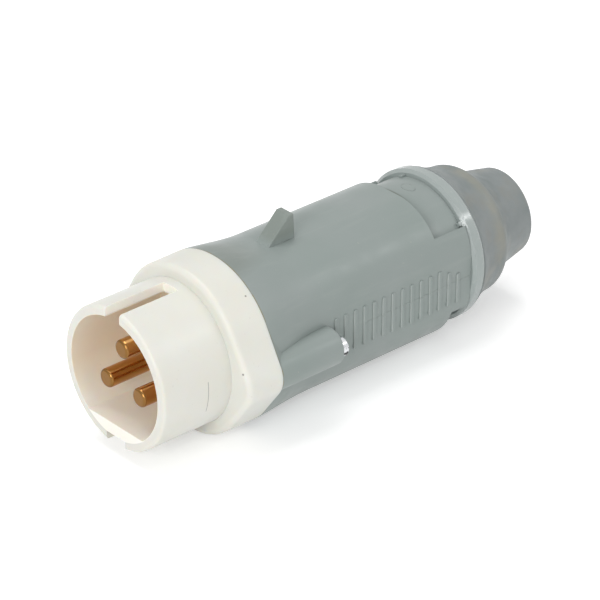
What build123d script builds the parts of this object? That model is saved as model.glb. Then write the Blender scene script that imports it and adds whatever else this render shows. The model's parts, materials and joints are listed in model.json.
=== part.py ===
# Industrial plug for extra-low voltage: three round pins in a slotted skirt, a moulded handle
# and a part-turn cable gland with a soft boot. No cord is fitted.
# The plug's axis is Y: it points towards -Y, the lid hook is on top (+Z), it lies on its underside.
# The origin is on the axis, in the plane of the skirt's front rim. Lengths are in millimetres.
import os
from collections import namedtuple
from math import cos, hypot, radians, sin, sqrt

from build123d import *

os.makedirs("parts", exist_ok=True)

# Skirt round the pins
skirt_radius = 23.0
skirt_wall = 3.1
skirt_length = 25.4
skirt_depth = 33.0
rim_round = 1.1
slot_width = 6.5
slot_length = 21.9
keyway_width = 8.6
keyway_depth = 3.4
keyway_wall = 4.0

# Collar and handle: half width, top and bottom heights over the axis, upper and lower corner radii
Outline = namedtuple("Outline", "half_width top bottom top_corner bottom_corner")
collar_outline = Outline(27.2, 27.2, 26.5, 26.8, 24.8)
grip_outline = Outline(23.2, 23.7, 26.5, 19.4, 21.8)
collar_front_inset = 0.15
collar_length = 12.8
collar_round = 1.8
shoulder_length = 23.2
shoulder_steps = 5
shoulder_power = 1.4
handle_length = 83.8
handle_wall = 2.8
mouth_wall = 5.2

# Ears of the collar: they swell out of its sides and die away on the handle's shoulder
ear_radius = 8.8
ear_fade_length = 8.0
ear_fade_proud = 0.1
ear_fade_inset = 0.3

# Bosses at the sides for the long screws that hold handle and carrier together
boss_half_width = 31.1
boss_half_height = 6.0
boss_drop = 1.7
boss_width = 12.0
boss_corner_share = 0.97
boss_length = 24.4
boss_end_round = 0.6
housing_screw_inset = 3.6
housing_screw_radius = 1.7
housing_screw_grip = 9.6
housing_screw_spare = 1.0
housing_head_radius = 3.2
housing_head_height = 2.6
housing_head_sunk = 0.2
driver_channel_radius = 4.2
driver_channel_length = 6.5

# Pins, their circle and the tower that holds their terminals
pin_radius = 3.0
pin_circle = 8.7
pin_setback = 2.8
pin_tip_round = 1.0
pin_root_radius = 3.4
barrel_radius = 4.5
barrel_length = 22.0
base_thickness = 9.0
wire_bore_radius = 2.9
wire_bore_depth = 17.0
tower_radius = 16.8
tower_web = 3.0

# Screws of the terminals
terminal_screw_radius = 2.0
terminal_head_radius = 3.2
terminal_head_height = 2.4
terminal_screw_pitch = 7.4
terminal_screw_inset = 5.2
terminal_lift = 1.0
access_radius = 3.6

# Plate behind the terminals
retainer_radius = 16.6
retainer_thickness = 3.0
funnel_radius = 4.1
retainer_screw_radius = 1.5
retainer_head_radius = 2.8
retainer_head_height = 1.8
retainer_screw_length = 12.0

# Spigot of the carrier in the mouth of the handle, with its gasket
spigot_length = 5.0
spigot_wall = 2.0
gasket_inset = 1.4
gasket_width = 2.2
gasket_depth = 1.3

# Hook for the socket's lid
hook_start = 18.8
hook_length = 10.8
hook_height = 31.9
hook_width = 5.7
hook_flat = 2.0
hook_top_setback = 0.4
hook_edge_round = 0.4

# Ribs of the grip
rib_count = 14
rib_front_gap = 3.5
rib_rear_gap = 5.6
rib_width = 1.3
rib_height = 0.45
rib_edge_round = 0.2
rib_length = 13.6
rib_drop = 1.6
rib_short_step = 1.6
rib_short_count = 2

# Neck, bare in a recess above and one below between the two cheeks of the handle
neck_radius = 22.7
recess_length = 12.8
lower_recess_length = 6.6
recess_top_angle = 37.0
recess_bottom_angle = -29.0
neck_groove_width = 0.7
neck_groove_depth = 0.8
latch_pocket_radius = 19.4
latch_pocket_start = -80.0
latch_pocket_end = -31.0
nub_angle = 108.5
nub_sector = 4.0
nub_length = 1.6
nub_height = 0.6

# Part-turn gland: sleeve of the neck, ring with its tooth, soft boot
sleeve_radius = 18.0
sleeve_length = 9.0
sleeve_bore = 15.8
seal_seat = 10.0
passage_radius = 12.0
passage_web = 6.6
lug_height = 1.0
lug_length = 2.0
lug_sector = 54.0
lug_overlap = 4.0
ring_lug_sector = 64.0
lug_setback = 1.0
ring_radius = 25.0
ring_width = 4.6
ring_chamfer = 0.8
ring_front_radius = 23.9
ring_back_radius = 24.5
ring_wall = 1.6
ring_sleeve_length = 6.0
tooth_angle = 39.8
tooth_sector = 3.2
tooth_length = 1.1
tooth_height = 1.3
dome_length = 14.6
dome_middle_radius = 22.3
dome_rear_radius = 21.2
dome_edge = 3.6
dome_edge_share = 1 / 3
dome_edge_drop = 0.6
sleeve_root_radius = 19.6
flare_middle_radius = 17.3
flare_radius = 15.6
flare_length = 9.3
flare_middle_share = 0.4
boot_end_radius = 14.4
boot_length = 31.4
boot_end_round = 1.6
boot_wall = 2.6
boot_lip = 1.0
cable_hole_radius = 8.5

# Seal, slip washer and collet round the cord
seal_bore_radius = 8.6
seal_length = 9.0
washer_thickness = 1.2
collet_bore_radius = 9.0
collet_length = 9.0
collet_band_length = 3.0
collet_tip_radius = 12.5
collet_slot_width = 1.4
collet_finger_count = 6

# Drive slots and edges of every screw head, as shares of its radius or height
drive_slot_share = 1.5
drive_width_share = 0.28
head_round_share = 0.3

# Clearances: between fixed pieces, and at the ring that turns; and how far a cut runs past its face
fit_gap = 0.05
loose_gap = 0.25
turn_gap = 0.1
past = 1.0

# Places along the axis
collar_front = skirt_length
parting = collar_front + collar_length
waist = parting + shoulder_length
ring_front = parting + handle_length
recess_front = ring_front - recess_length
lower_recess_front = ring_front - lower_recess_length
boss_end = parting + boss_length
pin_seat = skirt_depth + base_thickness
barrel_end = pin_seat + barrel_length
spigot_end = parting + spigot_length
sleeve_end = ring_front + sleeve_length
seal_front = ring_front - seal_seat
cavity_end = seal_front - passage_web
boot_front = ring_front + ring_width
boot_end = boot_front + boot_length
boss_inner = boss_half_width - boss_width
housing_screw_offset = boss_half_width - housing_screw_inset
ring_bore = sleeve_radius + lug_height + turn_gap
pin_angles = (90.0, 210.0, 330.0)
reach = 2 * boss_half_width


def inset(outline, wall):
    """Outline moved inwards by a wall's thickness."""
    return Outline(*(value - wall for value in outline))


def between(first, second, share):
    """Outline part of the way from one outline to another."""
    return Outline(*(a + (b - a) * share for a, b in zip(first, second)))


def across(y, x=0.0, z=0.0):
    """Plane across the plug at y: its own x is X, its own y is Z, and it faces -Y."""
    return Plane(origin=(x, y, z), x_dir=(1, 0, 0), z_dir=(0, -1, 0))


def belt(y, circles):
    """Section at y: the outline of a belt round circles of x, z and radius, named clockwise from the top."""
    following = circles[1:] + circles[:1]
    outward = []
    for (x, z, radius), (next_x, next_z, next_radius) in zip(circles, following):
        run_x, run_z = next_x - x, next_z - z
        run = hypot(run_x, run_z)
        lean = (radius - next_radius) / run
        upright = sqrt(1 - lean ** 2)
        outward.append(((run_x * lean - run_z * upright) / run, (run_z * lean + run_x * upright) / run))
    edge = Curve()
    arriving = outward[-1:] + outward[:-1]
    for (x, z, radius), after, before, leave in zip(circles, following, arriving, outward):
        middle = hypot(before[0] + leave[0], before[1] + leave[1])
        top = (x + radius * (before[0] + leave[0]) / middle, z + radius * (before[1] + leave[1]) / middle)
        end = (x + radius * leave[0], z + radius * leave[1])
        edge += ThreePointArc((x + radius * before[0], z + radius * before[1]), top, end)
        edge += Line(end, (after[0] + after[2] * leave[0], after[1] + after[2] * leave[1]))
    return across(y) * make_face(edge)


def corners(outline):
    """Circles at the four corners of an outline: the two on the right, then the two on the left."""
    half, top, bottom, upper, lower = outline
    right = [(half - upper, top - upper, upper), (half - lower, lower - bottom, lower)]
    return right, [(-x, z, radius) for x, z, radius in reversed(right)]


def face_at(y, outline):
    """Section of the collar or handle at y: four flats joined by quarter-round corners."""
    right, left = corners(outline)
    return belt(y, right + left)


def eared_face(y, outline, half_width):
    """The same section with a soft ear swelling out of each side to a half width."""
    right, left = corners(outline)
    ear_x = half_width - ear_radius
    return belt(y, [right[0], (ear_x, -boss_drop, ear_radius), right[1],
                    left[0], (-ear_x, -boss_drop, ear_radius), left[1]])


def prism(y_start, y_end, outline):
    """Straight length of a section."""
    return extrude(face_at(y_start, outline), y_end - y_start, dir=(0, 1, 0))


def rod(y_start, y_end, radius, x=0.0, z=0.0):
    """Round rod parallel to the axis."""
    return extrude(across(y_start, x, z) * Circle(radius), y_end - y_start, dir=(0, 1, 0))


def turned(points):
    """Solid turned about the axis from points of radius and y."""
    return revolve(make_face(Polyline(*points, close=True)), Axis.Y)


def block(x_range, y_range, z_range):
    """Box between two corners."""
    sizes = [high - low for low, high in (x_range, y_range, z_range)]
    middle = [(high + low) / 2 for low, high in (x_range, y_range, z_range)]
    return Pos(*middle) * Box(*sizes)


def on_circle(radius, angle):
    """Point x, z at an angle from X towards Z."""
    return radius * cos(radians(angle)), radius * sin(radians(angle))


def sector(y_start, y_end, inner, outer, angle_start, angle_end):
    """Part of a ring about the axis between two angles, measured from X towards Z."""
    turn = angle_end - angle_start
    profile = Plane(origin=(0, 0, 0), x_dir=(cos(radians(angle_start)), 0, sin(radians(angle_start))),
                    z_dir=(-sin(radians(angle_start)), 0, cos(radians(angle_start))))
    corners = [(inner, -y_start), (outer, -y_start), (outer, -y_end), (inner, -y_end)]
    if profile.y_dir.Y > 0:
        corners = [(r, -y) for r, y in corners]
    return revolve(profile * make_face(Polyline(*corners, close=True)), Axis((0, 0, 0), (0, -1, 0)), turn)


def boss_prism(side, y_start, y_end, inner):
    """Rounded bar at one side that carries a housing screw."""
    middle = side * (inner + boss_half_width) / 2
    corner = boss_corner_share * min(boss_half_height, (boss_half_width - inner) / 2)
    bar = RectangleRounded(boss_half_width - inner, 2 * boss_half_height, corner)
    return extrude(across(y_start, middle, -boss_drop) * bar, y_end - y_start, dir=(0, 1, 0))


def screw(shank_radius, shank_length, head_radius, head_height, slots):
    """Screw that points down -Z, with the seat of its head at the origin and its drive slots cut."""
    body = Pos(0, 0, -shank_length / 2) * Cylinder(shank_radius, shank_length)
    head = Pos(0, 0, head_height / 2) * Cylinder(head_radius, head_height)
    rim = head.edges().filter_by(GeomType.CIRCLE).sort_by(Axis.Z)[-1:]
    body += fillet(rim, head_height * head_round_share)
    for turn in range(slots):
        cut = Box(drive_slot_share * head_radius, drive_width_share * head_radius, head_height)
        body -= Rot(0, 0, turn * 90) * Pos(0, 0, head_height) * cut
    return body


def make_carrier():
    """White moulding: skirt, collar with its ears, base, terminal tower and spigot."""
    bore_radius = skirt_radius - skirt_wall
    flat = skirt_radius - keyway_depth - keyway_wall
    shell = rod(0, skirt_depth, skirt_radius)
    shell = fillet(shell.edges().group_by(Axis.Y)[0], rim_round)

    front_outline = inset(collar_outline, collar_front_inset)
    collar = loft([eared_face(collar_front, front_outline, boss_half_width - collar_front_inset),
                   eared_face(parting, collar_outline, boss_half_width)])
    body = shell + fillet(collar.edges().group_by(Axis.Y)[0], collar_round)
    body += prism(parting, spigot_end, inset(collar_outline, mouth_wall + fit_gap))

    pocket = prism(skirt_depth + tower_web, spigot_end, inset(collar_outline, mouth_wall + spigot_wall))
    body -= pocket
    body += rod(skirt_depth, barrel_end, tower_radius)

    cavity = rod(-past, skirt_depth, bore_radius)
    cavity -= block((-reach, reach), (-2 * past, skirt_depth + past), (-reach, -flat))
    body -= cavity
    slot_sides = (-slot_width / 2, slot_width / 2)
    body -= block(slot_sides, (-past, slot_length), (pin_circle + pin_radius, skirt_radius + past))
    keyway_floor = skirt_radius - keyway_depth
    keyway_sides = (-keyway_width / 2, keyway_width / 2)
    body -= block(keyway_sides, (-past, collar_front), (-skirt_radius - past, -keyway_floor))

    groove = prism(parting + gasket_inset, parting + gasket_inset + gasket_width, collar_outline)
    groove -= prism(parting, spigot_end, inset(collar_outline, mouth_wall + gasket_depth))
    body -= groove

    for angle in pin_angles:
        x, z = on_circle(pin_circle, angle)
        body -= rod(skirt_depth - past, pin_seat + past, pin_root_radius + fit_gap, x, z)
        body -= rod(pin_seat, barrel_end + past, barrel_radius + fit_gap, x, z)
        for place in terminal_places():
            outward = Plane(origin=(x, place, z), z_dir=(cos(radians(angle)), 0, sin(radians(angle))))
            body -= extrude(outward * Circle(access_radius), tower_radius)
    body -= rod(barrel_end - retainer_screw_length, barrel_end + past, retainer_screw_radius + fit_gap)
    for side in (-1, 1):
        x = side * housing_screw_offset
        y = parting - housing_screw_grip
        body -= rod(y, parting + past, housing_screw_radius + fit_gap, x, -boss_drop)
    return body


def terminal_places():
    """Where the two screws of a terminal stand along the axis."""
    rear = barrel_end - terminal_screw_inset
    return rear - terminal_screw_pitch, rear


def make_pin(angle):
    """Brass pin: rounded tip, shank, root in the base, terminal barrel with wire bore and screw holes."""
    x, z = on_circle(pin_circle, angle)
    shank = rod(pin_setback, skirt_depth, pin_radius, x, z)
    shank = fillet(shank.edges().group_by(Axis.Y)[0], pin_tip_round)
    pin = shank + rod(skirt_depth, pin_seat, pin_root_radius, x, z)
    pin += rod(pin_seat, barrel_end, barrel_radius, x, z)
    pin -= rod(barrel_end - wire_bore_depth, barrel_end + past, wire_bore_radius, x, z)
    for place in terminal_places():
        outward = Plane(origin=(x, place, z), z_dir=(cos(radians(angle)), 0, sin(radians(angle))))
        pin -= extrude(outward * Circle(terminal_screw_radius + fit_gap), 2 * barrel_radius)
    return pin


def make_terminal_screw(angle, place):
    """Clamping screw, backed off for a wire: its head stands a little clear of the barrel."""
    seat = pin_circle + barrel_radius + terminal_lift
    x, z = on_circle(seat, angle)
    length = terminal_lift + barrel_radius - wire_bore_radius
    outward = Plane(origin=(x, place, z), x_dir=(0, 1, 0), z_dir=(cos(radians(angle)), 0, sin(radians(angle))))
    return outward * screw(terminal_screw_radius, length, terminal_head_radius, terminal_head_height, 1)


def make_retainer():
    """Plate over the terminals, with a wire funnel behind each barrel."""
    plate = rod(barrel_end, barrel_end + retainer_thickness, retainer_radius)
    for angle in pin_angles:
        x, z = on_circle(pin_circle, angle)
        plate -= across(barrel_end + retainer_thickness / 2, x, z) * Cone(
            funnel_radius, wire_bore_radius, retainer_thickness)
    plate -= rod(barrel_end - past, barrel_end + retainer_thickness + past, retainer_screw_radius + fit_gap)
    return plate


def make_retainer_screw():
    """Central screw that holds the plate on the tower."""
    seat = Plane(origin=(0, barrel_end + retainer_thickness, 0), x_dir=(1, 0, 0), z_dir=(0, 1, 0))
    length = retainer_screw_length + retainer_thickness - terminal_lift
    return seat * screw(retainer_screw_radius, length, retainer_head_radius, retainer_head_height, 2)


def make_gasket():
    """Rubber ring in the groove of the spigot."""
    front = parting + gasket_inset + fit_gap
    rear = parting + gasket_inset + gasket_width - fit_gap
    ring = prism(front, rear, inset(collar_outline, mouth_wall))
    return ring - prism(front - past, rear + past, inset(collar_outline, mouth_wall + gasket_depth))


def handle_form(wall, end):
    """Outside of the handle, or its inside at a wall's thickness: a soft shoulder, then a long grip."""
    stations = []
    for step in range(shoulder_steps + 1):
        share = step / shoulder_steps
        stations.append(face_at(parting + shoulder_length * share, inset(shoulder_at(share), wall)))
    return loft(stations) + prism(waist, end, inset(grip_outline, wall))


def shoulder_at(share):
    """Outline at a share of the shoulder: it leaves the collar's outline and meets the grip's smoothly."""
    return between(collar_outline, grip_outline, sin(radians(90 * share)) ** shoulder_power)


def ear_roots():
    """Ears behind the parting: as wide as the collar's there, then dying away on the shoulder."""
    faded = inset(shoulder_at(ear_fade_length / shoulder_length), ear_fade_inset)
    return loft([eared_face(parting, collar_outline, boss_half_width),
                 eared_face(parting + ear_fade_length, faded, faded.half_width + ear_fade_proud)])


def make_hook():
    """Hook for the socket's lid: a wedge with a short flat top."""
    front = parting + hook_start
    rear = front + hook_length
    top_rear = rear - hook_top_setback
    root = grip_outline.top - handle_wall / 2
    side = Plane.YZ * make_face(Polyline((front, root), (front, grip_outline.top),
                                         (top_rear - hook_flat, hook_height), (top_rear, hook_height),
                                         (rear, grip_outline.top), (rear, root), close=True))
    hook = extrude(side, hook_width / 2, both=True)
    upper = [edge for edge in hook.edges() if edge.center().Z > grip_outline.top]
    return fillet(upper, hook_edge_round)


def make_handle():
    """Grey moulding: grip with bosses, hook and ribs, round neck with its sleeve."""
    body = handle_form(0, ring_front) + ear_roots()
    for side in (-1, 1):
        boss = boss_prism(side, parting, boss_end, boss_inner)
        body += fillet(boss.edges().group_by(Axis.Y)[-1], boss_end_round)
    body += make_hook()

    beyond = ring_front + past
    top_recess = (recess_top_angle, 180 - recess_top_angle)
    bottom_recess = (-180 - recess_bottom_angle, recess_bottom_angle)
    body -= sector(recess_front, beyond, neck_radius, reach, *top_recess)
    body -= sector(lower_recess_front, beyond, neck_radius, reach, *bottom_recess)
    body += rod(recess_front, ring_front, neck_radius)
    groove_floor = neck_radius - neck_groove_depth
    body -= sector(recess_front, recess_front + neck_groove_width, groove_floor, reach, *top_recess)
    body -= sector(lower_recess_front, beyond, latch_pocket_radius, reach, latch_pocket_start, latch_pocket_end)
    body += sector(ring_front - nub_length, ring_front, groove_floor, neck_radius + nub_height,
                   nub_angle - nub_sector / 2, nub_angle + nub_sector / 2)

    mouth_end = spigot_end + loose_gap
    inside = handle_form(handle_wall, cavity_end)
    body -= inside - block((-reach, reach), (parting - past, mouth_end), (-reach, reach))
    body -= prism(parting - past, mouth_end, inset(collar_outline, mouth_wall))
    body += make_ribs()

    body += rod(ring_front - past, sleeve_end, sleeve_radius)
    lug_front = sleeve_end - lug_length - lug_setback
    for angle in pin_angles:
        body += sector(lug_front, lug_front + lug_length, sleeve_radius - past, sleeve_radius + lug_height,
                       angle - lug_sector / 2, angle + lug_sector / 2)
    body -= rod(cavity_end - past, seal_front, passage_radius)
    body -= rod(seal_front, sleeve_end + past, sleeve_bore)

    channel_end = boss_end + driver_channel_length
    for side in (-1, 1):
        x = side * housing_screw_offset
        seat = boss_end - housing_head_sunk
        body -= rod(parting - past, seat + past, housing_screw_radius + loose_gap, x, -boss_drop)
        body -= rod(seat, boss_end + past, housing_head_radius + loose_gap, x, -boss_drop)
        body -= rod(boss_end, channel_end - driver_channel_radius, driver_channel_radius, x, -boss_drop)
        body -= Pos(x, channel_end - driver_channel_radius, -boss_drop) * Sphere(driver_channel_radius)
    return body


def make_ribs():
    """Upright ribs on both cheeks of the grip, the last ones shorter towards the round rear edge."""
    first = boss_end + rib_front_gap
    pitch = (ring_front - rib_rear_gap - first) / (rib_count - 1)
    ribs = Part()
    for number in range(rib_count):
        short = rib_short_step * max(0, number + 1 + rib_short_count - rib_count)
        for side in (-1, 1):
            wall = Plane(origin=(side * (grip_outline.half_width - rib_height), first + pitch * number,
                                 -rib_drop - short / 2), x_dir=(0, 0, 1), z_dir=(side, 0, 0))
            rib = extrude(wall * SlotOverall(rib_length - short, rib_width), 2 * rib_height)
            crest = rib.faces().sort_by(Axis.X)[-1 if side > 0 else 0]
            ribs += fillet(crest.edges(), rib_edge_round)
    return ribs


def make_housing_screw(side):
    """Long screw from the pocket in the handle's boss into the carrier's ear."""
    seat = boss_end - housing_head_sunk
    place = Plane(origin=(side * housing_screw_offset, seat, -boss_drop), x_dir=(1, 0, 0), z_dir=(0, 1, 0))
    length = seat - parting + housing_screw_grip - housing_screw_spare
    return place * screw(housing_screw_radius, length, housing_head_radius, housing_head_height, 2)


def make_ring():
    """Hard ring that turns on the neck's sleeve, with inward lugs and one tooth in the top recess."""
    outer = ring_bore + ring_wall
    front = ring_front + turn_gap
    lug_front = sleeve_end - lug_length - lug_setback
    lip = lug_front - turn_gap - lug_length
    body = turned([(sleeve_radius + turn_gap, front), (ring_front_radius, front),
                   (ring_radius, front + ring_chamfer), (ring_radius, boot_front - ring_chamfer),
                   (ring_back_radius, boot_front), (outer, boot_front),
                   (outer, boot_front + ring_sleeve_length), (ring_bore, boot_front + ring_sleeve_length),
                   (ring_bore, lip), (sleeve_radius + turn_gap, lip)])
    for angle in pin_angles:
        last = angle - lug_sector / 2 + lug_overlap
        body += sector(lip - past, lip + lug_length, sleeve_radius + turn_gap, ring_bore + past,
                       last - ring_lug_sector, last)
    tooth_inner = neck_radius + turn_gap
    body += sector(front - tooth_length, front + ring_chamfer, tooth_inner, tooth_inner + tooth_height,
                   tooth_angle - tooth_sector / 2, tooth_angle + tooth_sector / 2)
    return body


def make_boot():
    """Soft boot moulded on the ring: a dome, a step, then a flared sleeve with the cord's hole in its end."""
    ring_outer = ring_bore + ring_wall
    dome_end = boot_front + dome_length
    edge_start = dome_end - dome_edge
    flare_end = dome_end + flare_length
    inner_front = boot_front + ring_sleeve_length
    round_start = boot_end - boot_end_round
    round_mid = boot_end_round * (1 - sqrt(0.5))
    profile = Line((ring_outer, boot_front), (ring_back_radius, boot_front))
    profile += ThreePointArc((ring_back_radius, boot_front),
                             (dome_middle_radius, (boot_front + edge_start) / 2),
                             (dome_rear_radius, edge_start))
    profile += ThreePointArc((dome_rear_radius, edge_start),
                             (dome_rear_radius - dome_edge_drop, dome_end - dome_edge * dome_edge_share),
                             (sleeve_root_radius, dome_end))
    profile += ThreePointArc((sleeve_root_radius, dome_end),
                             (flare_middle_radius, dome_end + flare_middle_share * flare_length),
                             (flare_radius, flare_end))
    profile += Line((flare_radius, flare_end), (boot_end_radius, round_start))
    profile += ThreePointArc((boot_end_radius, round_start),
                             (boot_end_radius - round_mid, boot_end - round_mid),
                             (boot_end_radius - boot_end_round, boot_end))
    profile += Polyline((boot_end_radius - boot_end_round, boot_end), (cable_hole_radius, boot_end),
                        (cable_hole_radius, boot_end - boot_wall),
                        (boot_end_radius - boot_wall, boot_end - boot_wall),
                        (flare_radius - boot_wall, flare_end),
                        (flare_middle_radius - boot_wall, dome_end + flare_middle_share * flare_length),
                        (dome_rear_radius - boot_wall, edge_start), (ring_outer - boot_lip, inner_front),
                        (ring_outer, inner_front), (ring_outer, boot_front))
    return revolve(make_face(profile), Axis.Y)


def make_seal():
    """Rubber sleeve that seals on the cord."""
    return turned([(seal_bore_radius, seal_front), (sleeve_bore, seal_front),
                   (sleeve_bore, seal_front + seal_length), (seal_bore_radius, seal_front + seal_length)])


def make_washer():
    """Slip washer that keeps the turning parts from twisting the seal."""
    front = seal_front + seal_length
    outer = sleeve_bore - 2 * fit_gap
    return turned([(collet_bore_radius, front), (outer, front), (outer, front + washer_thickness),
                   (collet_bore_radius, front + washer_thickness)])


def make_collet():
    """Clamping ring with spring fingers that the boot's taper closes on the cord."""
    front = seal_front + seal_length + washer_thickness
    rear = front + collet_length
    outer = sleeve_bore - 2 * fit_gap
    band_end = front + collet_band_length
    body = turned([(collet_bore_radius, front), (outer, front), (outer, band_end),
                   (collet_tip_radius, rear), (collet_bore_radius, rear)])
    for finger in range(collet_finger_count):
        cut = block((0, reach), (band_end, rear + past),
                    (-collet_slot_width / 2, collet_slot_width / 2))
        body -= Rot(0, finger * 360 / collet_finger_count, 0) * cut
    return body


pieces = {
    "contact_carrier": make_carrier(),
    "contact_retainer": make_retainer(),
    "retainer_screw": make_retainer_screw(),
    "carrier_gasket": make_gasket(),
    "handle": make_handle(),
    "housing_screw_right": make_housing_screw(1),
    "housing_screw_left": make_housing_screw(-1),
    "gland_ring": make_ring(),
    "gland_boot": make_boot(),
    "cable_seal": make_seal(),
    "thrust_washer": make_washer(),
    "clamp_collet": make_collet(),
}
for number, angle in enumerate(pin_angles, start=1):
    pieces[f"contact_pin_{number}"] = make_pin(angle)
    for letter, place in zip("ab", terminal_places()):
        pieces[f"terminal_screw_{number}{letter}"] = make_terminal_screw(angle, place)

for name, piece in pieces.items():
    export_step(piece, f"parts/{name}.step")
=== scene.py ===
"""Industrial plug for extra-low voltage, dressed in its finishes: ivory and grey mouldings, brass pins,
a hard ring and a soft boot. The plug points towards -Y and lies on its underside. Lengths are in metres."""
import json
import math

import bpy
import numpy as np
from mathutils import Matrix, Vector


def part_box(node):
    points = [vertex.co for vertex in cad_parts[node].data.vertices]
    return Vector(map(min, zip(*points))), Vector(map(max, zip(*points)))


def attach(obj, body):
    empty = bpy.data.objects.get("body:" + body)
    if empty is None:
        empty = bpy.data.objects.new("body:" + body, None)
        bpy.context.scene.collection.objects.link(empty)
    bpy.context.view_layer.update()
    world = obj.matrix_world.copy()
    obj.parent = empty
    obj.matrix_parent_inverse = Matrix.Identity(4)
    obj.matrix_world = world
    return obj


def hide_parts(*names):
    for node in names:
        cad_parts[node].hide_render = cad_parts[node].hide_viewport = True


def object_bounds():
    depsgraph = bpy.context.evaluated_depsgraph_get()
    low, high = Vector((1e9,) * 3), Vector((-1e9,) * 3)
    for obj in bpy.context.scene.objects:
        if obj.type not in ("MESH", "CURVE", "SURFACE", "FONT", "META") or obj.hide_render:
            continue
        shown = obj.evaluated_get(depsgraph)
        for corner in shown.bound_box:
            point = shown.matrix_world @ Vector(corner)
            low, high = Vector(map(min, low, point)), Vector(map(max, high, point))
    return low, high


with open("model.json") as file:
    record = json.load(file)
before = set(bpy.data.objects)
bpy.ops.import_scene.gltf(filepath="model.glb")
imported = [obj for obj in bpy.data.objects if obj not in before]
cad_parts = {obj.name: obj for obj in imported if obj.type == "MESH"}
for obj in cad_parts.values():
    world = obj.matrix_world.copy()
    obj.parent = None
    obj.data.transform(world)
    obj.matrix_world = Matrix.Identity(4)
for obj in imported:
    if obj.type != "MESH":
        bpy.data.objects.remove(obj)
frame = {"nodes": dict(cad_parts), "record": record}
cad_low, cad_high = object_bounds()

MM = 0.001

# Places along the axis, read from the pieces of the frame
handle_low, handle_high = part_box("handle")
boot_low, boot_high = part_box("gland_boot")
NECK_SLEEVE_LENGTH = 9.0 * MM
PIN_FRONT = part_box("contact_pin_1")[0].y
PARTING = handle_low.y
GRIP_END = handle_high.y - NECK_SLEEVE_LENGTH
BOOT_FRONT = boot_low.y
BOOT_END = boot_high.y

# Boot: radii and lengths of its profile, and the slow waves of its skin
RING_SLEEVE_RADIUS = 20.7 * MM
RING_SLEEVE_LENGTH = 6.0 * MM
RING_SLEEVE_SHELF = 1.0 * MM
BOOT_FRONT_RADIUS = 24.5 * MM
DOME_LENGTH = 14.6 * MM
DOME_EDGE = 3.6 * MM
DOME_MIDDLE_RADIUS = 22.3 * MM
DOME_REAR_RADIUS = 21.2 * MM
DOME_REAR = BOOT_FRONT + DOME_LENGTH - DOME_EDGE
STEP_RADIUS = 19.6 * MM
FLARE_MIDDLE_RADIUS = 17.3 * MM
FLARE_RADIUS = 15.6 * MM
FLARE_LENGTH = 9.3 * MM
FLARE_MIDDLE_SHARE = 0.4
BOOT_END_RADIUS = 14.4 * MM
BOOT_END_ROUND = 1.6 * MM
BOOT_WALL = 2.6 * MM
CORD_HOLE_RADIUS = 8.5 * MM
LIP = 0.5 * MM
LIP_SHARE = 0.3
BOOT_COLUMNS = 256
BOOT_WAVE = 0.06 * MM
WAVES_ROUND = (3, 2)
WAVES_ALONG = (90.0, 260.0)
WAVE_OFFSET = 1.0

# Marks on the carrier; a pair of lengths is where a change of tone starts and ends
SKIRT_BORE_EDGE = (19.95 * MM, 20.15 * MM)
SKIRT_LOWER_PART = (-14.0 * MM, -2.0 * MM)
SLOT_HALF_WIDTH = 3.3 * MM
SLOT_FLOOR = (19.9 * MM, 20.1 * MM)
SLOT_END = (21.95 * MM, 22.1 * MM)
SKIRT_LINE = (0.0229, 0.0166, -0.0027)
SKIRT_LINE_REACH = 5.2 * MM
COLLAR_SPECKS = ((0.0171, 0.0361, 0.0215), (0.0279, 0.0256, 0.0038))
SPECK_EDGE = (0.22 * MM, 0.42 * MM)

# Marks on the handle, and the places of its recess and ribs that they follow
HOOK_FOOT = (24.0 * MM, 26.0 * MM)
RECESS_LENGTH = 12.8 * MM
RECESS_FRONT = GRIP_END - RECESS_LENGTH
RECESS_EDGE = (22.9 * MM, 23.2 * MM)
NECK_MARK = (0.0004, 0.1164, 0.0)
NECK_MARK_RADIUS = 2.6 * MM
NECK_TOP = (15.0 * MM, 17.0 * MM)
MOULD_LINE_HEIGHT = -0.7 * MM
MOULD_LINE_START = (74.0 * MM, 78.0 * MM)
BOSS_LENGTH = 24.4 * MM
RIB_COUNT = 14
RIB_WIDTH = 1.3 * MM
RIB_FRONT_GAP = 3.5 * MM
RIB_REAR_GAP = 5.6 * MM
FIRST_RIB = PARTING + BOSS_LENGTH + RIB_FRONT_GAP
RIB_PITCH = (GRIP_END - RIB_REAR_GAP - FIRST_RIB) / (RIB_COUNT - 1)
RIB_EDGE = FIRST_RIB - RIB_WIDTH / 2
RIBS_START = (RIB_EDGE - 0.45 * MM, RIB_EDGE - 0.35 * MM)
RIB_PROUD = (23.2 * MM, 23.3 * MM)

# Pins: where their turned ends give way to the sides
PIN_END = (PIN_FRONT + 0.3 * MM, PIN_FRONT + 1.0 * MM)

# Colours of the ivory carrier
IVORY = (0.762, 0.762, 0.712)
IVORY_AGED = (0.742, 0.738, 0.670)
# painted light: the skirt's inside colours are warmer and brighter than the ivory, standing in for warm light
# bounced off the brass pins, and the lower one is lighter still towards the bottom
SKIRT_INSIDE = (0.905, 0.838, 0.705)
SKIRT_INSIDE_AGED_BOUNCE_LIT = (0.880, 0.795, 0.648)
SKIRT_INSIDE_LOWER_LIT = (0.985, 0.955, 0.865)
# painted light: the slot walls' colour is lighter, as where light falls on them
SLOT_WALLS_LIT = (0.975, 0.960, 0.880)
CARRIER_DUST = (0.55, 0.53, 0.46)
LINE_GREY = (0.20, 0.20, 0.20)
SPECK_GREY = (0.16, 0.16, 0.15)
IVORY_DEPTH = (1.0, 0.62, 0.34)

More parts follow.
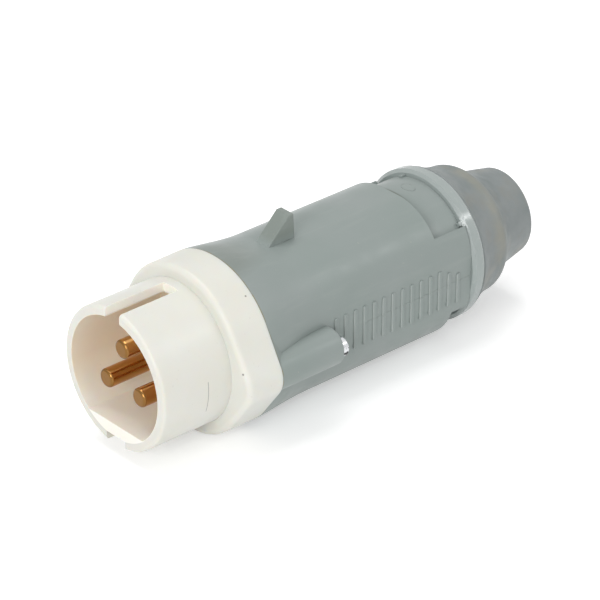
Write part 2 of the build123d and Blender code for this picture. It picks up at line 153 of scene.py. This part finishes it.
# Colours of the grey handle
HANDLE_GREY = (0.268, 0.312, 0.296)
HANDLE_PALE = (0.288, 0.325, 0.314)
HOOK_GREY = (0.222, 0.252, 0.228)
RUBBED_GREY = (0.345, 0.378, 0.362)
PALE_SCRAPS = (0.42, 0.42, 0.36)
OCHRE_FLASH = (0.270, 0.225, 0.110)
# painted shade: the recess colour darkens the corner at the front of the neck's recess, where the step shades
# the neck
RECESS_SHADE = (0.105, 0.120, 0.090)
MARK_SHADE = (0.150, 0.175, 0.160)
# painted highlight: the rib-edge colour lightens each rib's front-facing edge
RIB_EDGE_HIGHLIGHT = (0.420, 0.458, 0.440)

# Colours of the hard ring and of the soft boot
RING_GREY = (0.325, 0.370, 0.358)
RING_PALE = (0.350, 0.390, 0.380)
RING_WORN = (0.430, 0.460, 0.440)
BOOT_GREY = (0.205, 0.233, 0.231)
BOOT_PALE = (0.262, 0.284, 0.284)
BOOT_STAIN = (0.255, 0.255, 0.228)
BOOT_YELLOWED = (0.330, 0.312, 0.245)

# Colours of the metals and of the inner pieces
BRASS = (0.700, 0.385, 0.140)
BRASS_TARNISHED = (0.560, 0.270, 0.085)
BRASS_END = (0.235, 0.120, 0.036)
ZINC = (0.74, 0.75, 0.76)
ZINC_DULL = (0.58, 0.60, 0.62)
# painted reflection: the near-black of the screws stands in for dark surroundings reflected in the zinc
DARK_REFLECTION = (0.035, 0.035, 0.035)
RUBBER_BLACK = (0.022, 0.022, 0.024)
RUBBER_BLOOM = (0.050, 0.050, 0.052)
NATURAL_PLASTIC = (0.56, 0.56, 0.52)
NATURAL_CLOUD = (0.48, 0.48, 0.44)

# Studio: name, place, size and power of each lamp, what they face, and the pale ground and world
LAMPS = (
    ("key_lamp", (-0.25, 0.05, 1.25), 0.9, 7.2),
    ("front_lamp", (0.60, -1.25, 0.60), 0.6, 9.0),
    ("side_lamp", (1.25, 0.25, 0.20), 0.8, 2.0),
    ("rear_lamp", (0.72, 0.86, 0.80), 0.12, 1.0),
)
LAMP_AIM = (0.0, 0.07, 0.0)
WHITE = (1.0, 1.0, 1.0, 1.0)
WORLD_STRENGTH = 0.46
FLOOR_HALF_SIZE = 6.0
FLOOR_COLOUR = (0.92, 0.92, 0.92, 1.0)
FLOOR_ROUGHNESS = 0.9
FLOOR_GLOW = 0.36

# Camera, as it stood for the reference picture
CAMERA_AZIMUTH = math.radians(48.388)
CAMERA_ELEVATION = math.radians(29.579)
CAMERA_TARGET = Vector((0.02744, 0.04801, 0.02003))
CAMERA_DISTANCE = 0.98956
CAMERA_LENS = 204.09
CAMERA_CLIP_START = 0.01
SENSOR_WIDTH = 36.0


def closed_mesh(name, points):
    """Mesh of a grid of points, rows along and columns round, that closes on itself both ways: each face
    joins a point to the next ones along and round, and the last row and column meet the first."""
    rows, columns = points.shape[:2]
    numbers = np.pad(np.arange(rows * columns).reshape(rows, columns), ((0, 1), (0, 1)), mode="wrap")
    faces = np.stack([numbers[:-1, :-1], numbers[1:, :-1], numbers[1:, 1:], numbers[:-1, 1:]], axis=-1)
    faces = faces.reshape(-1, 4)
    mesh = bpy.data.meshes.new(name)
    mesh.vertices.add(rows * columns)
    mesh.vertices.foreach_set("co", points.reshape(-1, 3).astype(np.float32).ravel())
    mesh.loops.add(faces.size)
    mesh.loops.foreach_set("vertex_index", faces.astype(np.int32).ravel())
    mesh.polygons.add(len(faces))
    mesh.polygons.foreach_set("loop_start", np.arange(0, faces.size, 4, dtype=np.int32))
    mesh.update(calc_edges=True)
    mesh.validate()
    mesh.shade_smooth()
    return mesh


def place_piece(name, mesh, body, material):
    """Object for a mesh that already lies in place, riding on a body of the frame."""
    piece = bpy.data.objects.new(name, mesh)
    bpy.context.scene.collection.objects.link(piece)
    mesh.materials.append(material)
    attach(piece, body)
    return piece


def arc(start, middle, end, count):
    """Points of radius and y on the circle through three points: its centre is where the chords'
    perpendicular bisectors meet, and the angle runs evenly from start to end past the middle."""
    a, b, c = (np.array(point, float) for point in (start, middle, end))
    chords = 2 * np.array([b - a, c - a])
    reach = np.array([b @ b - a @ a, c @ c - a @ a])
    centre = np.linalg.solve(chords, reach)
    angles = [math.atan2(*(point - centre)[::-1]) for point in (a, b, c)]
    turn = (angles[2] - angles[0]) % (2 * math.pi)
    if (angles[1] - angles[0]) % (2 * math.pi) > turn:
        turn -= 2 * math.pi
    swept = angles[0] + turn * np.linspace(0, 1, count)
    radius = np.linalg.norm(a - centre)
    return centre + radius * np.stack([np.cos(swept), np.sin(swept)], axis=1)


def straight(start, end, count):
    """Evenly spaced points of radius and y on a line."""
    return np.array(start) + np.linspace(0, 1, count)[:, None] * (np.array(end) - np.array(start))


def turned_mesh(name, profile, columns, wave):
    """Surface turned about the plug's axis: x = r cos a and z = r sin a at each point of the profile,
    with r swollen by the mean of two slow waves, a cosine and a sine of the angle and of y together."""
    angle = np.linspace(0, 2 * math.pi, columns, endpoint=False)[None, :]
    radius, y = profile[:, :1], profile[:, 1:]
    swell = (np.cos(WAVES_ROUND[0] * angle + WAVES_ALONG[0] * y)
             + np.sin(WAVES_ROUND[1] * angle + WAVE_OFFSET + WAVES_ALONG[1] * y)) / 2
    radius = radius + wave * swell
    points = np.stack([radius * np.cos(angle), y + 0 * angle, radius * np.sin(angle)], axis=-1)
    return closed_mesh(name, points)


def boot_profile():
    """Closed outline of the boot's wall, in points of radius and y: front lip, dome, its rounded edge, the
    hollow flare, the sleeve, the rounded end, the cord's hole, and back along the inside to the ring."""
    dome_end = BOOT_FRONT + DOME_LENGTH
    flare_middle = dome_end + FLARE_MIDDLE_SHARE * FLARE_LENGTH
    flare_end = dome_end + FLARE_LENGTH
    corner = BOOT_END_ROUND * (1 - math.sqrt(0.5))
    inner_end = BOOT_END - BOOT_WALL
    sleeve_end = BOOT_FRONT + RING_SLEEVE_LENGTH

    seat = (RING_SLEEVE_RADIUS, BOOT_FRONT)
    lip_start = (BOOT_FRONT_RADIUS - LIP, BOOT_FRONT)
    lip_middle = (BOOT_FRONT_RADIUS - LIP_SHARE * LIP, BOOT_FRONT + LIP_SHARE * LIP)
    lip_end = (BOOT_FRONT_RADIUS, BOOT_FRONT + LIP)
    dome_middle = (DOME_MIDDLE_RADIUS, (BOOT_FRONT + DOME_REAR) / 2)
    dome_rear = (DOME_REAR_RADIUS, DOME_REAR)
    edge_middle = (DOME_REAR_RADIUS - DOME_EDGE / 6, dome_end - DOME_EDGE / 3)
    step = (STEP_RADIUS, dome_end)
    flare_hollow = (FLARE_MIDDLE_RADIUS, flare_middle)
    flare_rear = (FLARE_RADIUS, flare_end)
    round_start = (BOOT_END_RADIUS, BOOT_END - BOOT_END_ROUND)
    round_middle = (BOOT_END_RADIUS - corner, BOOT_END - corner)
    round_end = (BOOT_END_RADIUS - BOOT_END_ROUND, BOOT_END)
    hole_start = (CORD_HOLE_RADIUS + LIP, BOOT_END)
    hole_middle = (CORD_HOLE_RADIUS + LIP_SHARE * LIP, BOOT_END - LIP_SHARE * LIP)
    hole_edge = (CORD_HOLE_RADIUS, BOOT_END - LIP)
    hole_end = (CORD_HOLE_RADIUS, inner_end)
    inner_sleeve = (BOOT_END_RADIUS - BOOT_WALL, inner_end)
    inner_flare = (FLARE_RADIUS - BOOT_WALL, flare_end)
    inner_hollow = (FLARE_MIDDLE_RADIUS - BOOT_WALL, flare_middle)
    inner_dome = (DOME_REAR_RADIUS - BOOT_WALL, DOME_REAR)
    shelf = (RING_SLEEVE_RADIUS - RING_SLEEVE_SHELF, sleeve_end)
    stop = (RING_SLEEVE_RADIUS, sleeve_end)
    stretches = [
        straight(seat, lip_start, 6),
        arc(lip_start, lip_middle, lip_end, 5),
        arc(lip_end, dome_middle, dome_rear, 40),
        arc(dome_rear, edge_middle, step, 24),
        arc(step, flare_hollow, flare_rear, 30),
        straight(flare_rear, round_start, 16),
        arc(round_start, round_middle, round_end, 12),
        straight(round_end, hole_start, 10),
        arc(hole_start, hole_middle, hole_edge, 5),
        straight(hole_edge, hole_end, 5),
        straight(hole_end, inner_sleeve, 6),
        straight(inner_sleeve, inner_flare, 8),
        straight(inner_flare, inner_hollow, 8),
        straight(inner_hollow, inner_dome, 8),
        straight(inner_dome, shelf, 6),
        straight(shelf, stop, 2),
    ]
    return np.concatenate([stretches[0]] + [stretch[1:] for stretch in stretches[1:]])


def start_material(name):
    """Material with its Principled shader, and the Object coordinates that its patterns read."""
    material = bpy.data.materials.new(name)
    material.use_nodes = True
    tree = material.node_tree
    coordinates = tree.nodes.new("ShaderNodeTexCoord")
    return material, tree, tree.nodes["Principled BSDF"], coordinates.outputs["Object"]


def link_finish(tree, shader, colour, roughness, normal):
    """Gives a shader its colour, its roughness and its bumped normal."""
    tree.links.new(colour, shader.inputs["Base Color"])
    tree.links.new(roughness, shader.inputs["Roughness"])
    tree.links.new(normal, shader.inputs["Normal"])


def noise(tree, place, scale, detail=3.0, stretch=(1.0, 1.0, 1.0)):
    """Cloudy value from 0 to 1; stretch multiplies the pattern's frequency along each axis."""
    mapping = tree.nodes.new("ShaderNodeMapping")
    mapping.inputs["Scale"].default_value = stretch
    texture = tree.nodes.new("ShaderNodeTexNoise")
    texture.inputs["Scale"].default_value = scale
    texture.inputs["Detail"].default_value = detail
    tree.links.new(place, mapping.inputs["Vector"])
    tree.links.new(mapping.outputs["Vector"], texture.inputs["Vector"])
    return texture.outputs["Fac"]


def spread(tree, value, low, high, start=0.35, end=0.65):
    """Value mapped from the range start to end onto the range low to high."""
    node = tree.nodes.new("ShaderNodeMapRange")
    node.inputs["From Min"].default_value = start
    node.inputs["From Max"].default_value = end
    node.inputs["To Min"].default_value = low
    node.inputs["To Max"].default_value = high
    tree.links.new(value, node.inputs["Value"])
    return node.outputs["Result"]


def rise(tree, value, start, end, top=1.0):
    """0 where a value is below start, rising to top at end."""
    return spread(tree, value, 0.0, top, start, end)


def fall(tree, value, start, end, top=1.0):
    """Top where a value is below start, falling to 0 at end."""
    return spread(tree, value, top, 0.0, start, end)


def calculate(tree, operation, first, second=None):
    """Result of a sum on one value or two; the second may be a number."""
    node = tree.nodes.new("ShaderNodeMath")
    node.operation = operation
    tree.links.new(first, node.inputs[0])
    if isinstance(second, float):
        node.inputs[1].default_value = second
    elif second is not None:
        tree.links.new(second, node.inputs[1])
    return node.outputs[0]


def product(tree, first, second):
    """Product of two values; the second may be a number."""
    return calculate(tree, "MULTIPLY", first, second)


def band(tree, value, middle, half, soft):
    """1 where a value is within half of the middle, fading to 0 over a soft edge."""
    gap = calculate(tree, "ABSOLUTE", calculate(tree, "SUBTRACT", value, middle))
    return fall(tree, gap, half, half + soft)


def repeated(tree, value, first, pitch):
    """Value brought by whole pitches into the one around the first place."""
    node = tree.nodes.new("ShaderNodeMath")
    node.operation = "WRAP"
    node.inputs[1].default_value = first - pitch / 2
    node.inputs[2].default_value = first + pitch / 2
    tree.links.new(value, node.inputs[0])
    return node.outputs[0]


def along(tree, place, axis):
    """One coordinate of a place."""
    node = tree.nodes.new("ShaderNodeSeparateXYZ")
    tree.links.new(place, node.inputs[0])
    return node.outputs[axis]


def distance(tree, place, point, stretch=(1.0, 1.0, 1.0)):
    """Distance of a place from a point, with each axis counted as often as stretch says."""
    gap = tree.nodes.new("ShaderNodeVectorMath")
    gap.operation = "SUBTRACT"
    gap.inputs[1].default_value = point
    weighed = tree.nodes.new("ShaderNodeVectorMath")
    weighed.operation = "MULTIPLY"
    weighed.inputs[1].default_value = stretch
    length = tree.nodes.new("ShaderNodeVectorMath")
    length.operation = "LENGTH"
    tree.links.new(place, gap.inputs[0])
    tree.links.new(gap.outputs["Vector"], weighed.inputs[0])
    tree.links.new(weighed.outputs["Vector"], length.inputs[0])
    return length.outputs["Value"]


def off_axis(tree, place):
    """Distance of a place from the plug's axis."""
    return distance(tree, place, (0.0, 0.0, 0.0), (1.0, 0.0, 1.0))


def off_middle(tree, place):
    """Distance of a place from the plug's upright middle plane."""
    return distance(tree, place, (0.0, 0.0, 0.0), (1.0, 0.0, 0.0))


def tint(tree, share, first, second):
    """Colour between two others; each is a fixed colour or a node's output."""
    node = tree.nodes.new("ShaderNodeMix")
    node.data_type = "RGBA"
    tree.links.new(share, node.inputs["Factor"])
    for socket, colour in (("A", first), ("B", second)):
        target = [entry for entry in node.inputs if entry.name == socket and entry.type == "RGBA"][0]
        if isinstance(colour, tuple):
            target.default_value = (*colour, 1.0)
        else:
            tree.links.new(colour, target)
    return [entry for entry in node.outputs if entry.type == "RGBA"][0]


def relief(tree, height, depth, below=None):
    """Bump of a height from 0 to 1 over a depth in metres, laid on another bump if one is given."""
    node = tree.nodes.new("ShaderNodeBump")
    node.inputs["Distance"].default_value = depth
    node.inputs["Strength"].default_value = 1.0
    tree.links.new(height, node.inputs["Height"])
    if below is not None:
        tree.links.new(below, node.inputs["Normal"])
    return node.outputs["Normal"]


def ivory_plastic():
    """White-ivory polyamide of the carrier: faint yellowing in clouds, painted warm bounce light from the
    brass pins that makes the inside of the skirt warmer and brighter, most towards its bottom, painted light
    on the slot walls, a thin line and a few specks, fine moulded grain, and a little light passing through
    its thin edges."""
    material, tree, shader, place = start_material("ivory_plastic")
    height = along(tree, place, "Z")
    length = along(tree, place, "Y")
    clouds = spread(tree, noise(tree, place, scale=45.0, detail=4.0), 0.0, 1.0)
    colour = tint(tree, clouds, IVORY, IVORY_AGED)

    # painted warm bounce light from the brass pins inside the skirt, lightest towards its bottom; the clouds
    # between the two warm colours are the plastic's own yellowing
    inside = fall(tree, off_axis(tree, place), *SKIRT_BORE_EDGE)
    yellowed_and_bounce_lit = tint(tree, clouds, SKIRT_INSIDE, SKIRT_INSIDE_AGED_BOUNCE_LIT)
    lower = fall(tree, height, *SKIRT_LOWER_PART)
    colour = tint(tree, inside, colour, tint(tree, lower, yellowed_and_bounce_lit, SKIRT_INSIDE_LOWER_LIT))
    # painted light on the slot walls
    across_slot = band(tree, along(tree, place, "X"), 0.0, SLOT_HALF_WIDTH, 0.1 * MM)
    in_slot = product(tree, rise(tree, height, *SLOT_FLOOR), fall(tree, length, *SLOT_END))
    colour = tint(tree, product(tree, across_slot, in_slot), colour, SLOT_WALLS_LIT)

    dust = rise(tree, noise(tree, place, scale=900.0, detail=6.0), 0.68, 0.78, top=0.4)
    colour = tint(tree, dust, colour, CARRIER_DUST)
    on_line = band(tree, length, SKIRT_LINE[1], 0.05 * MM, 0.12 * MM)
    near_line = band(tree, distance(tree, place, SKIRT_LINE), 0.0, SKIRT_LINE_REACH, 0.2 * MM)
    colour = tint(tree, product(tree, product(tree, on_line, near_line), 0.75), colour, LINE_GREY)
    for speck in COLLAR_SPECKS:
        spot = fall(tree, distance(tree, place, speck), *SPECK_EDGE, top=0.85)
        colour = tint(tree, spot, colour, SPECK_GREY)

    roughness = spread(tree, clouds, 0.30, 0.40, start=0.0, end=1.0)
    flow = noise(tree, place, scale=140.0, detail=2.0, stretch=(1.0, 0.3, 1.0))
    grain = noise(tree, place, scale=2600.0, detail=2.0)
    skin = relief(tree, grain, 0.010 * MM, relief(tree, flow, 0.05 * MM))
    link_finish(tree, shader, colour, roughness, skin)
    shader.inputs["Subsurface Weight"].default_value = 0.35
    shader.inputs["Subsurface Radius"].default_value = IVORY_DEPTH
    shader.inputs["Subsurface Scale"].default_value = 2.2 * MM
    return material


def grey_plastic():
    """Mid grey polyamide of the handle: clouds from the flow of the melt, rubbed streaks along the grip, a
    painted highlight on the ribs' front edges, a yellowish hook, an ochre flash at the parting, painted shade
    in the corner at the front of the neck's recess, a ring mark on the neck and the mould's own line along
    the ribs."""
    material, tree, shader, place = start_material("grey_plastic")
    height = along(tree, place, "Z")
    length = along(tree, place, "Y")
    clouds = spread(tree, noise(tree, place, scale=38.0, detail=4.0), 0.0, 1.0)
    colour = tint(tree, clouds, HANDLE_GREY, HANDLE_PALE)
    colour = tint(tree, rise(tree, height, *HOOK_FOOT, top=0.8), colour, HOOK_GREY)

    streaks = noise(tree, place, scale=420.0, detail=5.0, stretch=(1.0, 0.12, 1.0))
    colour = tint(tree, rise(tree, streaks, 0.55, 0.75, top=0.20), colour, RUBBED_GREY)
    scraps = rise(tree, noise(tree, place, scale=1100.0, detail=3.0), 0.70, 0.76, top=0.4)
    colour = tint(tree, scraps, colour, PALE_SCRAPS)
    patches = spread(tree, noise(tree, place, scale=260.0, detail=4.0), 0.15, 0.95)
    at_parting = band(tree, length, PARTING, 0.30 * MM, 0.20 * MM)
    colour = tint(tree, product(tree, at_parting, patches), colour, OCHRE_FLASH)

    # painted shade: a dark band in the corner at the front of the neck's recess
    at_recess = band(tree, length, RECESS_FRONT, 1.5 * MM, 0.7 * MM)
    sunk = fall(tree, off_axis(tree, place), *RECESS_EDGE, top=0.75)
    colour = tint(tree, product(tree, at_recess, sunk), colour, RECESS_SHADE)
    mark = distance(tree, place, NECK_MARK, (1.0, 1.5, 0.0))
    mark = band(tree, mark, NECK_MARK_RADIUS, 0.12 * MM, 0.14 * MM)
    mark = product(tree, mark, rise(tree, height, *NECK_TOP))
    mark = product(tree, mark, rise(tree, noise(tree, place, scale=330.0, detail=2.0), 0.40, 0.55))
    colour = tint(tree, product(tree, mark, 0.22), colour, MARK_SHADE)

    # painted highlight: a lighter line along each rib's front-facing edge
    rib_highlight = band(tree, repeated(tree, length, RIB_EDGE, RIB_PITCH), RIB_EDGE, 0.08 * MM, 0.12 * MM)
    on_ribs = product(tree, rise(tree, off_middle(tree, place), *RIB_PROUD),
                      rise(tree, length, *RIBS_START, top=0.9))
    colour = tint(tree, product(tree, rib_highlight, on_ribs), colour, RIB_EDGE_HIGHLIGHT)

    roughness = spread(tree, noise(tree, place, scale=160.0, detail=4.0), 0.30, 0.40)
    flow = noise(tree, place, scale=110.0, detail=2.0, stretch=(1.0, 0.35, 1.0))
    grain = noise(tree, place, scale=2400.0, detail=2.0)
    mould_line = product(tree, band(tree, height, MOULD_LINE_HEIGHT, 0.05 * MM, 0.10 * MM),
                         rise(tree, length, *MOULD_LINE_START))
    skin = relief(tree, grain, 0.008 * MM, relief(tree, flow, 0.06 * MM))
    skin = relief(tree, mark, 0.14 * MM, relief(tree, mould_line, 0.10 * MM, skin))
    link_finish(tree, shader, colour, roughness, skin)
    shader.inputs["Specular IOR Level"].default_value = 0.32
    return material


def ring_plastic():
    """Harder, glossier grey of the gland's ring, with fine scuffs round it."""
    material, tree, shader, place = start_material("ring_plastic")
    clouds = spread(tree, noise(tree, place, scale=60.0, detail=3.0), 0.0, 1.0)
    colour = tint(tree, clouds, RING_GREY, RING_PALE)
    worn = noise(tree, place, scale=500.0, detail=5.0, stretch=(1.0, 4.0, 1.0))
    colour = tint(tree, rise(tree, worn, 0.58, 0.72, top=0.4), colour, RING_WORN)
    scuffs = noise(tree, place, scale=260.0, detail=5.0, stretch=(1.0, 9.0, 1.0))
    link_finish(tree, shader, colour, spread(tree, scuffs, 0.12, 0.22), relief(tree, scuffs, 0.020 * MM))
    shader.inputs["Specular IOR Level"].default_value = 0.7
    return material


def boot_rubber():
    """Soft grey compound of the boot: matte, blotched by handling, yellower on the dome's rear edge."""
    material, tree, shader, place = start_material("boot_rubber")
    clouds = spread(tree, noise(tree, place, scale=55.0, detail=5.0), 0.0, 1.0)
    colour = tint(tree, clouds, BOOT_GREY, BOOT_PALE)
    stains = rise(tree, noise(tree, place, scale=120.0, detail=6.0), 0.50, 0.68, top=0.65)
    colour = tint(tree, stains, colour, BOOT_STAIN)
    patches = rise(tree, noise(tree, place, scale=90.0, detail=4.0), 0.45, 0.62, top=0.45)
    at_edge = band(tree, along(tree, place, "Y"), DOME_REAR, 0.8 * MM, 3.5 * MM)
    colour = tint(tree, product(tree, at_edge, patches), colour, BOOT_YELLOWED)
    roughness = spread(tree, noise(tree, place, scale=300.0, detail=4.0), 0.46, 0.62)
    dents = relief(tree, noise(tree, place, scale=160.0), 0.10 * MM)
    pebbles = noise(tree, place, scale=1500.0, detail=3.0)
    link_finish(tree, shader, colour, roughness, relief(tree, pebbles, 0.02 * MM, dents))
    shader.inputs["Specular IOR Level"].default_value = 0.40
    return material


def turned_brass():
    """Brass of the pins: browner turned ends, tarnished orange-brown sides with fine marks round each pin."""
    material, tree, shader, place = start_material("turned_brass")
    tarnish = noise(tree, place, scale=150.0, detail=4.0, stretch=(1.0, 0.25, 1.0))
    sides = tint(tree, spread(tree, tarnish, 0.0, 1.0), BRASS, BRASS_TARNISHED)
    colour = tint(tree, fall(tree, along(tree, place, "Y"), *PIN_END), sides, BRASS_END)
    roughness = spread(tree, noise(tree, place, scale=400.0, detail=4.0), 0.15, 0.25)
    marks = noise(tree, place, scale=1.0, detail=2.0, stretch=(40.0, 5200.0, 40.0))
    link_finish(tree, shader, colour, roughness, relief(tree, marks, 0.0012 * MM))
    shader.inputs["Metallic"].default_value = 1.0
    return material


def zinc_steel():
    """Zinc-plated steel of the screws: cool and bright, with painted dark reflections in patches and fine
    scratches.
    """
    material, tree, shader, place = start_material("zinc_steel")
    clouds = spread(tree, noise(tree, place, scale=700.0, detail=4.0), 0.0, 1.0)
    # painted dark reflections: near-black patches on the bright zinc
    dark_reflection = rise(tree, noise(tree, place, scale=420.0, detail=3.0), 0.50, 0.56)
    colour = tint(tree, dark_reflection, tint(tree, clouds, ZINC, ZINC_DULL), DARK_REFLECTION)
    roughness = spread(tree, noise(tree, place, scale=2200.0, detail=4.0), 0.14, 0.28)
    scratches = noise(tree, place, scale=3200.0)
    link_finish(tree, shader, colour, roughness, relief(tree, scratches, 0.006 * MM))
    shader.inputs["Metallic"].default_value = 1.0
    return material


def seal_rubber():
    """Black rubber of the seals: dull, with a bloom of grey dust."""
    material, tree, shader, place = start_material("seal_rubber")
    bloom = spread(tree, noise(tree, place, scale=420.0, detail=5.0), 0.0, 1.0)
    colour = tint(tree, bloom, RUBBER_BLACK, RUBBER_BLOOM)
    roughness = spread(tree, bloom, 0.55, 0.75, start=0.0, end=1.0)
    grain = noise(tree, place, scale=1800.0)
    link_finish(tree, shader, colour, roughness, relief(tree, grain, 0.02 * MM))
    return material


def inner_plastic():
    """Pale natural plastic of the inner pieces, slightly cloudy."""
    material, tree, shader, place = start_material("inner_plastic")
    clouds = spread(tree, noise(tree, place, scale=180.0, detail=4.0), 0.0, 1.0)
    colour = tint(tree, clouds, NATURAL_PLASTIC, NATURAL_CLOUD)
    roughness = spread(tree, clouds, 0.40, 0.55, start=0.0, end=1.0)
    grain = noise(tree, place, scale=1600.0)
    link_finish(tree, shader, colour, roughness, relief(tree, grain, 0.015 * MM))
    return material


def dress_frame(finishes):
    """Gives every piece of the frame the finish of its slot in the record."""
    for part in frame["record"]["subparts"]:
        mesh = frame["nodes"][part["node"]].data
        mesh.materials.clear()
        mesh.materials.append(finishes[part["material_slot"]])


def make_boot(material):
    """Soft boot, turned finely from the same profile as the frame's, with the slow waves of a soft piece."""
    mesh = turned_mesh("boot_skin", boot_profile(), BOOT_COLUMNS, BOOT_WAVE)
    boot = place_piece("boot_skin", mesh, "gland_nut", material)
    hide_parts("gland_boot")


def seen_rays(tree):
    """1 for a ray from the camera, from a gloss or through something clear, and 0 for the rest."""
    rays = tree.nodes.new("ShaderNodeLightPath")
    seen = rays.outputs["Is Camera Ray"]
    for kind in ("Is Glossy Ray", "Is Transmission Ray"):
        seen = calculate(tree, "MAXIMUM", seen, rays.outputs[kind])
    return seen


def add_floor():
    """Plain pale floor under the plug, white to the camera where nothing shades it."""
    size, level = FLOOR_HALF_SIZE, cad_low.z
    corners = [(-size, -size, level), (size, -size, level), (size, size, level), (-size, size, level)]
    mesh = bpy.data.meshes.new("floor")
    mesh.from_pydata(corners, [], [(0, 1, 2, 3)])
    floor = bpy.data.objects.new("floor", mesh)
    bpy.context.scene.collection.objects.link(floor)
    material = bpy.data.materials.new("pale_floor")
    material.use_nodes = True
    tree = material.node_tree
    shader = tree.nodes["Principled BSDF"]
    shader.inputs["Base Color"].default_value = FLOOR_COLOUR
    shader.inputs["Roughness"].default_value = FLOOR_ROUGHNESS
    glow = tree.nodes.new("ShaderNodeEmission")
    tree.links.new(product(tree, seen_rays(tree), FLOOR_GLOW), glow.inputs["Strength"])
    both = tree.nodes.new("ShaderNodeAddShader")
    tree.links.new(shader.outputs[0], both.inputs[0])
    tree.links.new(glow.outputs[0], both.inputs[1])
    tree.links.new(both.outputs[0], tree.nodes["Material Output"].inputs["Surface"])
    mesh.materials.append(material)


def add_lamp(name, place, size, power):
    """Square soft lamp that faces the plug."""
    data = bpy.data.lights.new(name, "AREA")
    data.size = size
    data.energy = power
    lamp = bpy.data.objects.new(name, data)
    lamp.location = place
    lamp.rotation_euler = (Vector(LAMP_AIM) - Vector(place)).to_track_quat("-Z", "Y").to_euler()
    bpy.context.scene.collection.objects.link(lamp)


def add_world():
    """Even pale world, white where it is seen directly, in a gloss or through something clear."""
    world = bpy.data.worlds.new("pale_studio")
    bpy.context.scene.world = world
    world.use_nodes = True
    tree = world.node_tree
    plain = tree.nodes["Background"]
    plain.inputs["Color"].default_value = WHITE
    plain.inputs["Strength"].default_value = WORLD_STRENGTH
    bright = tree.nodes.new("ShaderNodeBackground")
    bright.inputs["Color"].default_value = WHITE
    bright.inputs["Strength"].default_value = 1.0
    choose = tree.nodes.new("ShaderNodeMixShader")
    tree.links.new(seen_rays(tree), choose.inputs["Fac"])
    tree.links.new(plain.outputs[0], choose.inputs[1])
    tree.links.new(bright.outputs[0], choose.inputs[2])
    tree.links.new(choose.outputs[0], tree.nodes["World Output"].inputs["Surface"])


def add_studio():
    """Soft studio light: a big lamp over the plug, one ahead of it, one at its side, a small one behind that
    glints on the ring, and the pale world."""
    for name, place, size, power in LAMPS:
        add_lamp(name, place, size, power)
    add_world()


def add_camera():
    """Camera at the reference picture's height and angle, aimed at a point on its middle line."""
    back = Vector((math.sin(CAMERA_AZIMUTH) * math.cos(CAMERA_ELEVATION),
                   -math.cos(CAMERA_AZIMUTH) * math.cos(CAMERA_ELEVATION), math.sin(CAMERA_ELEVATION)))
    right = Vector((math.cos(CAMERA_AZIMUTH), math.sin(CAMERA_AZIMUTH), 0.0))
    up = back.cross(right)
    data = bpy.data.cameras.new("camera")
    data.lens = CAMERA_LENS
    data.sensor_width = SENSOR_WIDTH
    data.clip_start = CAMERA_CLIP_START
    camera = bpy.data.objects.new("camera", data)
    turn = Matrix((right, up, back)).transposed()
    camera.matrix_world = Matrix.Translation(CAMERA_TARGET + CAMERA_DISTANCE * back) @ turn.to_4x4()
    bpy.context.scene.collection.objects.link(camera)
    bpy.context.scene.camera = camera


finishes = {
    "white_plastic": ivory_plastic(),
    "grey_plastic": grey_plastic(),
    "grey_ring_plastic": ring_plastic(),
    "soft_grey_boot": boot_rubber(),
    "brass_pin": turned_brass(),
    "steel_screw": zinc_steel(),
    "seal_rubber": seal_rubber(),
    "inner_plastic": inner_plastic(),
}
add_camera()
dress_frame(finishes)
make_boot(finishes["soft_grey_boot"])
add_floor()
add_studio()
bpy.context.scene.view_settings.view_transform = "Standard"
